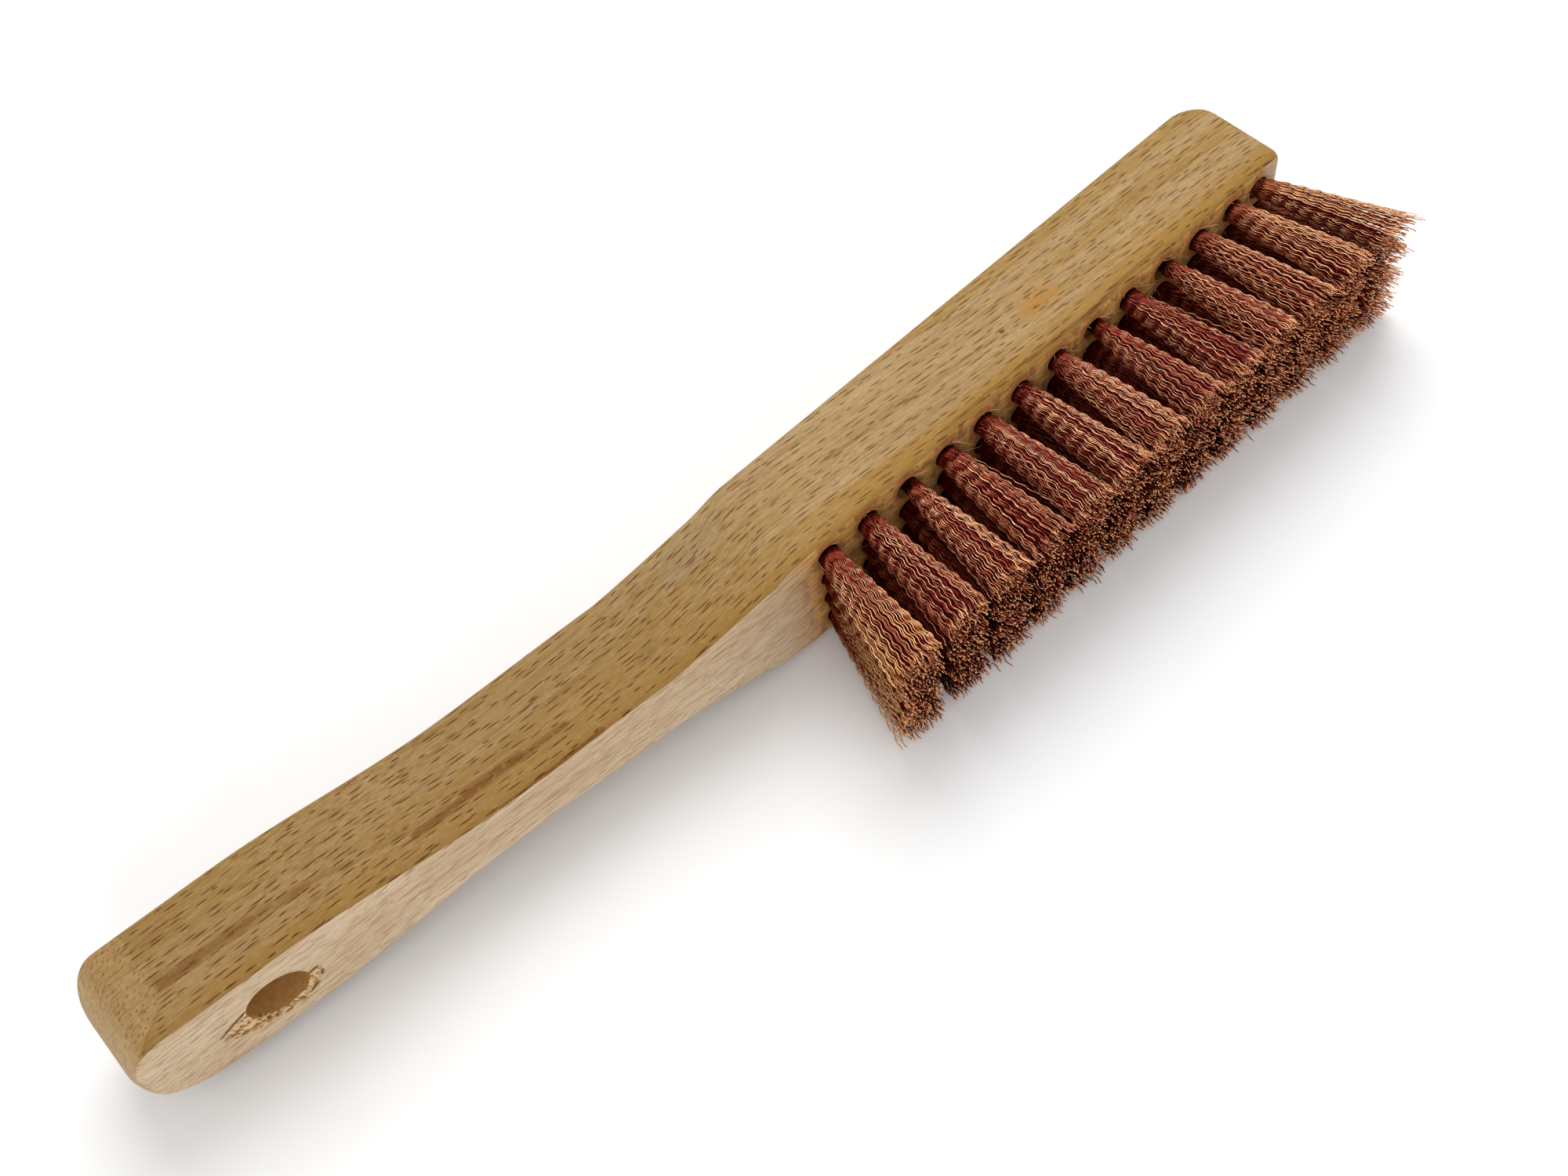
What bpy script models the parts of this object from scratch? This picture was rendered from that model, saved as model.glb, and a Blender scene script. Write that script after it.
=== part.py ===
"""Hand wire brush: one piece of beech with four rows of wire tufts set in drilled holes.

Frame, in metres: the origin is the centre of the block's lower side face, which the brush lies
on. +X runs to the block's tip, +Z runs up through the block's width, and the bristles point to -Y.
"""

import math

import bmesh
import bpy

# Block, the thick part that holds the tufts
BLOCK_LENGTH = 0.131  # from the shoulder to the tip
BLOCK_WIDTH = 0.031  # across the rows
BLOCK_THICKNESS = 0.023  # from the bristle face to the back
TIP_BACK_RADIUS = 0.0075  # tip corner on the back, seen from the side
TIP_FACE_RADIUS = 0.0015  # tip corner on the bristle face, seen from the side
TIP_SIDE_RADIUS = 0.002  # tip corners, seen from the back
EDGE_RADIUS = 0.0018  # all long edges

# Handle, which narrows behind the shoulder and rises away from the bristle side
HANDLE_LENGTH = 0.1407  # from the shoulder to the end
HANDLE_THICKNESS = 0.0216  # at the end
HANDLE_RISE = 0.0114  # of the bristle side at the end
HANDLE_RISE_START = 0.0065  # behind the shoulder
SHOULDER_RUN = 0.0305  # length in which the width drops from the block's to the neck's
NECK_HALF_WIDTH = 0.0088
WAIST_HALF_WIDTH = 0.0078
WAIST_SHARE = 0.465  # of the handle's length, where it is narrowest
GRIP_HALF_WIDTH = 0.0122
GRIP_SHARE = 0.78  # of the handle's length, where it is at its full width again
END_BACK_RADIUS = 0.0075
END_FACE_RADIUS = 0.0025
END_UPPER_RUN = 0.0085  # length of the rounding of the end's upper half, seen from the back
END_LOWER_RUN = 0.0145  # the same for the lower half
END_FLAT = 0.001  # half of the flat left between them

# Hanging hole, drilled through the handle from the back to the bristle side
HANG_RADIUS = 0.006
HANG_FROM_END = 0.0262

# Tufts and the holes that they are set in
COLUMNS = 13
ROWS = 4
FIRST_COLUMN_MARGIN = 0.0065  # from the shoulder to the first column
LAST_COLUMN_MARGIN = 0.0045  # from the last column's even place to the tip
LAST_COLUMN_SHIFT = 0.002  # of the last column's holes from that place, towards the others
ROW_MARGIN = 0.0053  # from an outer row to the side face
HOLE_RADIUS = 0.0025
HOLE_DEPTH = 0.013
BRISTLE_LENGTH = 0.0285  # trimmed height above the bristle face
TUFT_GAP = 0.0003  # between a tuft and its hole
TIP_CLEARANCE = 0.0008  # between the tips of neighbouring tufts
LEAN_SHIFT = 0.0001  # of all tips along X
LEAN_SPREAD = 0.0016  # more at each end of the rows, growing evenly
LEAN_SPLAY = 0.0031  # more at each end of the rows, nearly all in the last column
SPLAY_POWER = 5
ROW_SPREAD = 0.0014  # outward lean of the outer rows' tips

# How finely the round shapes are cut
CORNER_STEPS = 4
END_STEPS = 8
HANDLE_STEPS = 24
TUFT_SIDES = 12
HANG_SIDES = 32
CUTTER_OVERRUN = 0.002
SMOOTH_ANGLE = math.radians(32)

BEECH = ("beech", (0.48, 0.31, 0.16), 0.55, 0.0)
WIRE = ("copper_wire", (0.50, 0.22, 0.11), 0.35, 1.0)

# Places that follow from the sizes
SHOULDER_X = -BLOCK_LENGTH / 2
TIP_X = BLOCK_LENGTH / 2
END_X = SHOULDER_X - HANDLE_LENGTH
FACE_Y = -BLOCK_THICKNESS / 2
MIDDLE_Z = BLOCK_WIDTH / 2
COLUMN_PITCH = (BLOCK_LENGTH - FIRST_COLUMN_MARGIN - LAST_COLUMN_MARGIN) / (COLUMNS - 1)
ROW_PITCH = (BLOCK_WIDTH - 2 * ROW_MARGIN) / (ROWS - 1)


def clear_scene():
    for item in list(bpy.data.objects):
        bpy.data.objects.remove(item, do_unlink=True)


def material(name, colour, roughness, metallic):
    made = bpy.data.materials.new(name)
    made.use_nodes = True
    shader = made.node_tree.nodes["Principled BSDF"]
    shader.inputs["Base Color"].default_value = (*colour, 1.0)
    shader.inputs["Roughness"].default_value = roughness
    shader.inputs["Metallic"].default_value = metallic
    return made


def add_object(name, rings, finish, place=(0.0, 0.0, 0.0)):
    """A closed body lofted through rings of equally many points, with a flat cap at each end."""
    bm = bmesh.new()
    loops = [[bm.verts.new(point) for point in ring] for ring in rings]
    count = len(loops[0])
    for one, other in zip(loops, loops[1:]):
        for i in range(count):
            j = (i + 1) % count
            bm.faces.new((one[i], one[j], other[j], other[i]))
    bm.faces.new(loops[0])
    bm.faces.new(loops[-1])
    bmesh.ops.recalc_face_normals(bm, faces=bm.faces)
    mesh = bpy.data.meshes.new(name)
    bm.to_mesh(mesh)
    bm.free()
    mesh.shade_smooth()
    mesh.set_sharp_from_angle(angle=SMOOTH_ANGLE)
    if finish is not None:
        mesh.materials.append(finish)
    made = bpy.data.objects.new(name, mesh)
    made.location = place
    bpy.context.scene.collection.objects.link(made)
    return made


def ease(share):
    """0 to 1 with level ends."""
    share = min(max(share, 0.0), 1.0)
    return share * share * (3 - 2 * share)


def corner_inset(radius, distance):
    """How far a rounded corner stands back from its square outline at this distance from the end."""
    if distance >= radius:
        return 0.0
    return radius - math.sqrt(radius**2 - (radius - distance) ** 2)


def half_width(back):
    """Half the width at this distance behind the shoulder."""
    waist = WAIST_SHARE * HANDLE_LENGTH
    grip = GRIP_SHARE * HANDLE_LENGTH
    if back <= 0:
        return BLOCK_WIDTH / 2
    if back < SHOULDER_RUN:
        left = 1 - back / SHOULDER_RUN
        return NECK_HALF_WIDTH + (BLOCK_WIDTH / 2 - NECK_HALF_WIDTH) * left**1.15
    if back < waist:
        share = ease((back - SHOULDER_RUN) / (waist - SHOULDER_RUN))
        return NECK_HALF_WIDTH + (WAIST_HALF_WIDTH - NECK_HALF_WIDTH) * share
    share = ease((back - waist) / (grip - waist))
    return WAIST_HALF_WIDTH + (GRIP_HALF_WIDTH - WAIST_HALF_WIDTH) * share


def rise(back):
    """How far the bristle side stands above the block's bristle face."""
    run = max(back - HANDLE_RISE_START, 0.0) / (HANDLE_LENGTH - HANDLE_RISE_START)
    return HANDLE_RISE * run


def thickness(back):
    return BLOCK_THICKNESS + (HANDLE_THICKNESS - BLOCK_THICKNESS) * max(back, 0.0) / HANDLE_LENGTH


def rounded_off(half, run, distance):
    """Half the width left by an elliptical rounding at this distance from the end."""
    if distance >= run:
        return half
    return END_FLAT + (half - END_FLAT) * math.sqrt(1 - (1 - distance / run) ** 2)


def section(x):
    """The rounded rectangle of wood at x, as a ring of points."""
    back = SHOULDER_X - x
    low = FACE_Y + rise(back)
    high = low + thickness(back)
    if x > 0:
        low += corner_inset(TIP_FACE_RADIUS, TIP_X - x)
        high -= corner_inset(TIP_BACK_RADIUS, TIP_X - x)
        top = half_width(back) - corner_inset(TIP_SIDE_RADIUS, TIP_X - x)
        bottom = -top
    else:
        low += corner_inset(END_FACE_RADIUS, x - END_X)
        high -= corner_inset(END_BACK_RADIUS, x - END_X)
        top = rounded_off(half_width(back), END_UPPER_RUN, x - END_X)
        bottom = -rounded_off(half_width(back), END_LOWER_RUN, x - END_X)
    radius = min(EDGE_RADIUS, 0.45 * (high - low), 0.45 * (top - bottom))
    centres = (
        (high - radius, top - radius, 0),
        (low + radius, top - radius, 90),
        (low + radius, bottom + radius, 180),
        (high - radius, bottom + radius, 270),
    )
    ring = []
    for y, z, start in centres:
        for step in range(CORNER_STEPS + 1):
            turn = math.radians(start + 90 * step / CORNER_STEPS)
            ring.append((x, y + radius * math.cos(turn), MIDDLE_Z + z + radius * math.sin(turn)))
    return ring


def wood_sections():
    """Where the wood's rings stand, from the handle's end to the tip."""
    quarter = [math.radians(90 * i / END_STEPS) for i in range(END_STEPS + 1)]
    end_round = max(END_BACK_RADIUS, END_UPPER_RUN, END_LOWER_RUN)
    tip_round = max(TIP_BACK_RADIUS, TIP_SIDE_RADIUS)
    places = [END_X + end_round * (1 - math.cos(turn)) for turn in quarter]
    run = SHOULDER_X - places[-1]
    start = places[-1]
    places += [start + run * (i + 1) / HANDLE_STEPS for i in range(HANDLE_STEPS)]
    places += [TIP_X - tip_round * (1 - math.cos(turn)) for turn in reversed(quarter)]
    return places


def shift(column):
    """How far a column's holes stand back from their even place."""
    return LAST_COLUMN_SHIFT if column == COLUMNS - 1 else 0.0


def lean(column, row):
    """How far a tuft's tip stands off its root, along X and Z."""
    along = 2 * column / (COLUMNS - 1) - 1
    across = 1 - 2 * row / (ROWS - 1)
    x = LEAN_SHIFT + LEAN_SPREAD * along + LEAN_SPLAY * along**SPLAY_POWER
    return x + shift(column), ROW_SPREAD * across


def root(column, row):
    """The centre of a tuft's hole on the bristle face; row 0 is the upper one."""
    x = SHOULDER_X + FIRST_COLUMN_MARGIN + COLUMN_PITCH * column - shift(column)
    z = BLOCK_WIDTH - ROW_MARGIN - ROW_PITCH * row
    return x, FACE_Y, z


def leaning_ring(column, row, out, radius_x, radius_z):
    """A round ring about a tuft's axis, at this distance out from the bristle face."""
    lean_x, lean_z = lean(column, row)
    share = out / BRISTLE_LENGTH
    ring = []
    for side in range(TUFT_SIDES):
        turn = 2 * math.pi * side / TUFT_SIDES
        x = lean_x * share + radius_x * math.cos(turn)
        z = lean_z * share + radius_z * math.sin(turn)
        ring.append((x, -out, z))
    return ring


def add_cutter(name, bodies):
    """One cutter of separate closed bodies, which only its Boolean uses."""
    pieces = [add_object(name, rings, None, place) for rings, place in bodies]
    bm = bmesh.new()
    for piece in pieces:
        piece.data.transform(piece.matrix_basis)
        bm.from_mesh(piece.data)
        bpy.data.objects.remove(piece, do_unlink=True)
    mesh = bpy.data.meshes.new(name)
    bm.to_mesh(mesh)
    bm.free()
    cutter = bpy.data.objects.new(name, mesh)
    cutter.hide_render = True
    cutter.display_type = "WIRE"
    bpy.context.scene.collection.objects.link(cutter)
    return cutter


def cut(body, cutter):
    boolean = body.modifiers.new(cutter.name, "BOOLEAN")
    boolean.operation = "DIFFERENCE"
    boolean.solver = "EXACT"
    boolean.object = cutter


def hanging_cutter():
    """The drill that makes the hanging hole, along Y."""
    x = END_X + HANG_FROM_END
    low = FACE_Y - CUTTER_OVERRUN
    high = FACE_Y + HANDLE_RISE + BLOCK_THICKNESS + CUTTER_OVERRUN
    rings = []
    for y in (low, high):
        turns = [2 * math.pi * side / HANG_SIDES for side in range(HANG_SIDES)]
        rings.append([(HANG_RADIUS * math.cos(t), y, HANG_RADIUS * math.sin(t)) for t in turns])
    return add_cutter("hanging_cutter", [(rings, (x, 0.0, MIDDLE_Z))])


def tuft_cutter():
    """The drill for all tuft holes, which leans as each tuft does."""
    bodies = []
    for row in range(ROWS):
        for column in range(COLUMNS):
            rings = [
                leaning_ring(column, row, out, HOLE_RADIUS, HOLE_RADIUS)
                for out in (-HOLE_DEPTH, CUTTER_OVERRUN)
            ]
            bodies.append((rings, root(column, row)))
    return add_cutter("tuft_cutter", bodies)


def add_handle(finish):
    handle = add_object("handle", [section(x) for x in wood_sections()], finish)
    cut(handle, hanging_cutter())
    cut(handle, tuft_cutter())


def tip_radii(column):
    """Half sizes of a tuft's trimmed end: it fills its share of the space between its neighbours."""
    tips = [root(i, 0)[0] + lean(i, 0)[0] for i in range(COLUMNS)]
    gaps = [abs(tips[i] - tips[column]) for i in (column - 1, column + 1) if 0 <= i < COLUMNS]
    row_gap = ROW_PITCH + 2 * ROW_SPREAD / (ROWS - 1)
    nearest = min(gaps + [COLUMN_PITCH])
    return (nearest - TIP_CLEARANCE) / 2, (row_gap - TIP_CLEARANCE) / 2


def add_tufts(finish):
    neck = HOLE_RADIUS - TUFT_GAP
    for row in range(ROWS):
        for column in range(COLUMNS):
            tip_x, tip_z = tip_radii(column)
            rings = [
                leaning_ring(column, row, TUFT_GAP - HOLE_DEPTH, neck, neck),
                leaning_ring(column, row, 0.0, neck, neck),
                leaning_ring(column, row, BRISTLE_LENGTH, tip_x, tip_z),
            ]
            name = f"tuft_row{row + 1}_column{column + 1:02d}"
            add_object(name, rings, finish, root(column, row))


clear_scene()
add_handle(material(*BEECH))
add_tufts(material(*WIRE))
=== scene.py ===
"""The looks of the hand wire brush: a beech body with rows of crimped wire tufts.

Sizes are in millimetres until a mesh is made, in the CAD model's frame: the origin is the centre
of the block's lower side face, +X runs to the block's tip, +Z up, and the bristles point to -Y.
"""

import math

import bmesh
import bpy
import numpy as np
from mathutils import Matrix, Vector


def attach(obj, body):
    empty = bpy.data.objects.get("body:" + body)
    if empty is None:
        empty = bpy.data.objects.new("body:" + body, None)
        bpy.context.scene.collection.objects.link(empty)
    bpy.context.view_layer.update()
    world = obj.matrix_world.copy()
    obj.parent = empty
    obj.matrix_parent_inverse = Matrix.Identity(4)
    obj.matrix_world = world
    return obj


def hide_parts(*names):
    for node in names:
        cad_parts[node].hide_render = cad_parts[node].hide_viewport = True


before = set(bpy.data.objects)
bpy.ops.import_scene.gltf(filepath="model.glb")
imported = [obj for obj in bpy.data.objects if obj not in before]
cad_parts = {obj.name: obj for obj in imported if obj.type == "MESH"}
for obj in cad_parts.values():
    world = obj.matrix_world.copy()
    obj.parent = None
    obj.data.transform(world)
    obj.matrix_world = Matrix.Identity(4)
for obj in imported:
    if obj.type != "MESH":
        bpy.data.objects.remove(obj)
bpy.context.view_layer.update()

MM = 0.001
SCENE = bpy.context.scene

# The same sizes as the CAD model's
SHOULDER_X, TIP_X = -65.5, 65.5
HANDLE_LENGTH = 140.7
END_X = SHOULDER_X - HANDLE_LENGTH
WIDTH, THICKNESS, END_THICKNESS = 31.0, 23.0, 21.6
FACE_Y, MIDDLE_Z = -THICKNESS / 2, WIDTH / 2
TIP_BACK, TIP_FACE, TIP_SIDE, EDGE = 7.5, 1.5, 2.0, 1.8
RISE, RISE_START, SHOULDER_RUN = 11.4, 6.5, 30.5
NECK, WAIST, GRIP = 8.8, 7.8, 12.2
WAIST_AT, GRIP_AT = 0.465 * HANDLE_LENGTH, 0.78 * HANDLE_LENGTH
END_BACK, END_FACE, END_UPPER, END_LOWER, END_FLAT = 7.5, 2.5, 8.5, 14.5, 1.0
HANG_X, HANG_RADIUS = END_X + 26.2, 6.0
COLUMNS, ROWS = 13, 4
COLUMN_START, COLUMN_PITCH = SHOULDER_X + 6.5, 10.0
ROW_TOP, ROW_PITCH = WIDTH - 5.3, 6.8
LAST_COLUMN_SHIFT = 2.0
HOLE_RADIUS, HOLE_DEPTH, BRISTLE = 2.5, 13.0, 28.5

# The wood's mesh
POINT_GAP = 1.5  # at most, along the flats of an outline
CORNER_STEPS = 8
END_STEPS, RUN_STEPS, TIP_STEPS = 24, 170, 12
SHARP_ANGLE = math.radians(35)

# Wires
SHELL_WIRES = 58  # in a tuft, side by side round its outside
INNER_WIRES = 80
WIRE_RADIUS = 0.112
WIRE_SIDES = 3
WAVE_LENGTH = 3.05
WAVE_HEIGHT = 0.19
STEPS_PER_WAVE = 8
OPEN_FROM = 0.84  # share of a tuft's radius inside which its wires get painted shade
TIP_HALF_X, END_COLUMN_EXTRA, TIP_HALF_Z = 4.7, 0.3, 3.55  # a tuft's half sizes at its trimmed end
BRIGHT_FROM, BRIGHT_OVER = 0.915, 0.06  # shares of BRISTLE: where the painted shade on the wires lifts towards the tips, and over how much
LOWEST_WIRE = 0.35  # above the table
GOLDEN_ANGLE = 2.399963  # spreads the inner wires evenly
RANDOM_TURN = 6.28  # random angles lie between 0 and this
WIRE_DEPTHS = (-11.6, -8.0, -4.0)  # rings inside the hole, from the anchor up
ANCHOR_RADIUS, ANCHOR_HALF, ANCHOR_LIFT = 0.55, 2.6, 0.9
FIBRE_RINGS = 6


def new_object(name, verts, faces, finish=None):
    mesh = bpy.data.meshes.new(name)
    mesh.from_pydata([tuple(v) for v in verts], [], faces)
    mesh.update()
    mesh.shade_smooth()
    if finish:
        mesh.materials.append(finish)
    made = bpy.data.objects.new(name, mesh)
    SCENE.collection.objects.link(made)
    return made


# ---------------------------------------------------------------- materials


class Graph:
    """Shorthand for building a material's node tree."""

    def __init__(self, name):
        self.made = bpy.data.materials.new(name)
        self.made.use_nodes = True
        self.tree = self.made.node_tree
        self.shader = self.tree.nodes["Principled BSDF"]

    def node(self, kind, **settings):
        made = self.tree.nodes.new(kind)
        for key, value in settings.items():
            setattr(made, key, value)
        return made

    def put(self, socket, value):
        if isinstance(value, bpy.types.NodeSocket):
            self.tree.links.new(value, socket)
        elif isinstance(value, (tuple, list)) and len(value) == 3 and socket.type == "RGBA":
            socket.default_value = (*value, 1.0)
        else:
            socket.default_value = value

    def math(self, operation, *values):
        made = self.node("ShaderNodeMath", operation=operation)
        for socket, value in zip(made.inputs, values):
            self.put(socket, value)
        return made.outputs[0]

    def add(self, a, b):
        return self.math("ADD", a, b)

    def mul(self, a, b):
        return self.math("MULTIPLY", a, b)

    def span(self, value, low, high, to_low=0.0, to_high=1.0):
        """A smooth step: to_low at low, to_high at high."""
        made = self.node("ShaderNodeMapRange", interpolation_type="SMOOTHSTEP")
        for socket, item in zip(made.inputs, (value, low, high, to_low, to_high)):
            self.put(socket, item)
        return made.outputs[0]

    def mix(self, share, a, b):
        made = self.node("ShaderNodeMix", data_type="RGBA", blend_type="MIX")
        self.put(made.inputs[0], share)
        self.put(made.inputs[6], a)
        self.put(made.inputs[7], b)
        return made.outputs[2]

    def vector(self, x, y, z):
        made = self.node("ShaderNodeCombineXYZ")
        for socket, value in zip(made.inputs, (x, y, z)):
            self.put(socket, value)
        return made.outputs[0]

    def split(self, vector):
        made = self.node("ShaderNodeSeparateXYZ")
        self.put(made.inputs[0], vector)
        return made.outputs

    def noise(self, vector, scale=1.0, detail=2.0, rough=0.5):
        made = self.node("ShaderNodeTexNoise")
        self.put(made.inputs["Vector"], vector)
        made.inputs["Scale"].default_value = scale
        made.inputs["Detail"].default_value = detail
        made.inputs["Roughness"].default_value = rough
        return made.outputs[0]

    def attribute(self, name):
        made = self.node("ShaderNodeAttribute", attribute_name=name)
        return made.outputs["Fac"]

    def bump(self, height, strength, distance):
        made = self.node("ShaderNodeBump")
        made.inputs["Strength"].default_value = strength
        made.inputs["Distance"].default_value = distance
        self.put(made.inputs["Height"], height)
        return made.outputs[0]


def flecks(g, along, across, length, width, seed, density, half_length, half_width):
    """Short spindle-shaped marks scattered in cells of this length and width."""
    cell = g.vector(
        g.add(g.mul(along, 1 / length), seed * 7.3), g.add(g.mul(across, 1 / width), seed * 3.1), 0.0
    )
    voronoi = g.node("ShaderNodeTexVoronoi", voronoi_dimensions="2D", feature="F1")
    g.put(voronoi.inputs["Vector"], cell)
    voronoi.inputs["Scale"].default_value = 1.0
    voronoi.inputs["Randomness"].default_value = 0.9
    away = g.node("ShaderNodeVectorMath", operation="SUBTRACT")
    g.put(away.inputs[0], cell)
    g.put(away.inputs[1], voronoi.outputs["Position"])
    dx, dy, _ = g.split(away.outputs[0])
    chance = g.split(voronoi.outputs["Color"])
    reach = g.mul(g.add(g.mul(chance[0], 0.9), 0.45), half_length)
    dx = g.math("ABSOLUTE", g.math("DIVIDE", g.mul(dx, length), reach))
    dy = g.math("ABSOLUTE", g.mul(dy, width / half_width))
    edge = g.add(g.math("POWER", dx, 2.0), dy)
    mark = g.span(edge, 1.12, 0.60)
    shown = g.math("LESS_THAN", chance[1], density)
    return g.mul(g.mul(mark, shown), g.add(g.mul(chance[2], 0.38), 0.62))


def stroke(g, x, y, x0, y0, x1, y1, wide, ragged=None):
    """A soft stroke from one point to another on the upper face, tapering at its ends."""
    ex, ey = x1 - x0, y1 - y0
    length = ex * ex + ey * ey
    s = g.mul(g.add(g.mul(g.add(x, -x0), ex), g.mul(g.add(y, -y0), ey)), 1 / length)
    s = g.math("MINIMUM", g.math("MAXIMUM", s, 0.0), 1.0)
    dx = g.add(g.add(x, -x0), g.mul(s, -ex))
    dy = g.add(g.add(y, -y0), g.mul(s, -ey))
    away = g.math("SQRT", g.add(g.mul(dx, dx), g.mul(dy, dy)))
    if ragged is not None:
        away = g.add(away, g.mul(ragged, wide))
    return g.span(away, wide, wide * 0.15)


# Darker growth streaks on the upper face: x and y of both ends, half width, strength
STREAKS = (
    # the long streak of the grip
    (-198.0, 8.2, -186.0, 6.6, 1.9, 0.46),
    (-192.0, 7.3, -176.0, 5.8, 2.1, 0.62),
    (-179.0, 6.2, -165.0, 4.5, 1.7, 0.50),
    (-167.0, 4.7, -157.0, 3.0, 1.0, 0.38),
    # the brown streak at the waist, and the thin one beside it
    (-146.0, -0.3, -132.0, -0.2, 1.3, 0.92),
    (-134.5, 0.0, -124.0, -1.0, 1.6, 0.88),
    (-125.5, -1.1, -114.0, -2.4, 1.0, 0.75),
    (-132.0, -5.9, -121.0, -7.0, 0.5, 0.75),
    (-122.5, -6.9, -110.0, -7.8, 0.6, 0.90),
    # faint short ones
    (-136.0, 14.4, -124.0, 12.4, 1.0, 0.30),
    (-160.0, 9.6, -140.0, 6.4, 0.6, 0.22),
    (-47.0, 1.2, -37.0, 0.5, 0.5, 0.30),
    # the line along the block, above the tufts
    (-27.0, -10.1, -4.0, -10.4, 0.8, 0.55),
    (-6.0, -10.4, 12.0, -10.7, 0.8, 0.65),
    (10.0, -10.6, 32.0, -10.3, 0.7, 0.60),
)
# Small blemishes on the same face, and one patch of painted sheen: x and y, half length, radius,
# strength, colour
SPOTS = (
    # the knot
    (-197.2, 5.2, 0.7, 0.55, 0.90, (0.090, 0.036, 0.010)),
    # the yellow-brown stain and its specks
    (5.8, -1.7, 2.2, 3.9, 0.72, (0.440, 0.200, 0.036)),
    (14.6, 0.3, 0.5, 0.9, 0.50, (0.500, 0.260, 0.060)),
    (4.2, -2.6, 0.15, 0.32, 0.70, (0.200, 0.080, 0.018)),
    (7.4, 0.2, 0.15, 0.30, 0.60, (0.200, 0.080, 0.018)),
    (6.6, -3.4, 0.20, 0.28, 0.70, (0.200, 0.080, 0.018)),
    (5.0, -0.2, 0.12, 0.26, 0.60, (0.200, 0.080, 0.018)),
    # a dark speck
    (-4.1, -2.0, 0.2, 0.55, 1.00, (0.085, 0.030, 0.008)),
    # a greyish patch of painted sheen where the neck's face turns, and a brown spot of the neck
    (-77.0, 6.0, 4.0, 5.0, 0.40, (0.300, 0.225, 0.130)),
    (-95.6, -2.6, 1.2, 1.5, 0.50, (0.200, 0.105, 0.032)),
)
STREAK_BROWN = (0.180, 0.068, 0.011)
FLECK_BROWN = (0.105, 0.026, 0.0005)

# Where the wood's look changes: x at the start and at the end of the change
HANDLE_CONTRAST = (-50.0, -110.0)
# painted shade: the upper face turns darker and browner from the block to the handle
HANDLE_PAINTED_SHADE = (-45.0, -110.0)
# the stain with painted shade on the bristle face between the tufts: where it starts and where it stops
STAIN_AND_SHADE_START, STAIN_AND_SHADE_STOP = (-72.0, -60.0), (62.0, 58.5)
RUST_START = (-65.0, -63.0)
END_ZONE = (192.6, 195.0)  # distances back from the block's middle
END_SEAM = 193.3
SPARE_PITCHES = 20  # keeps the count of pitches from the first hole above zero


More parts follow.
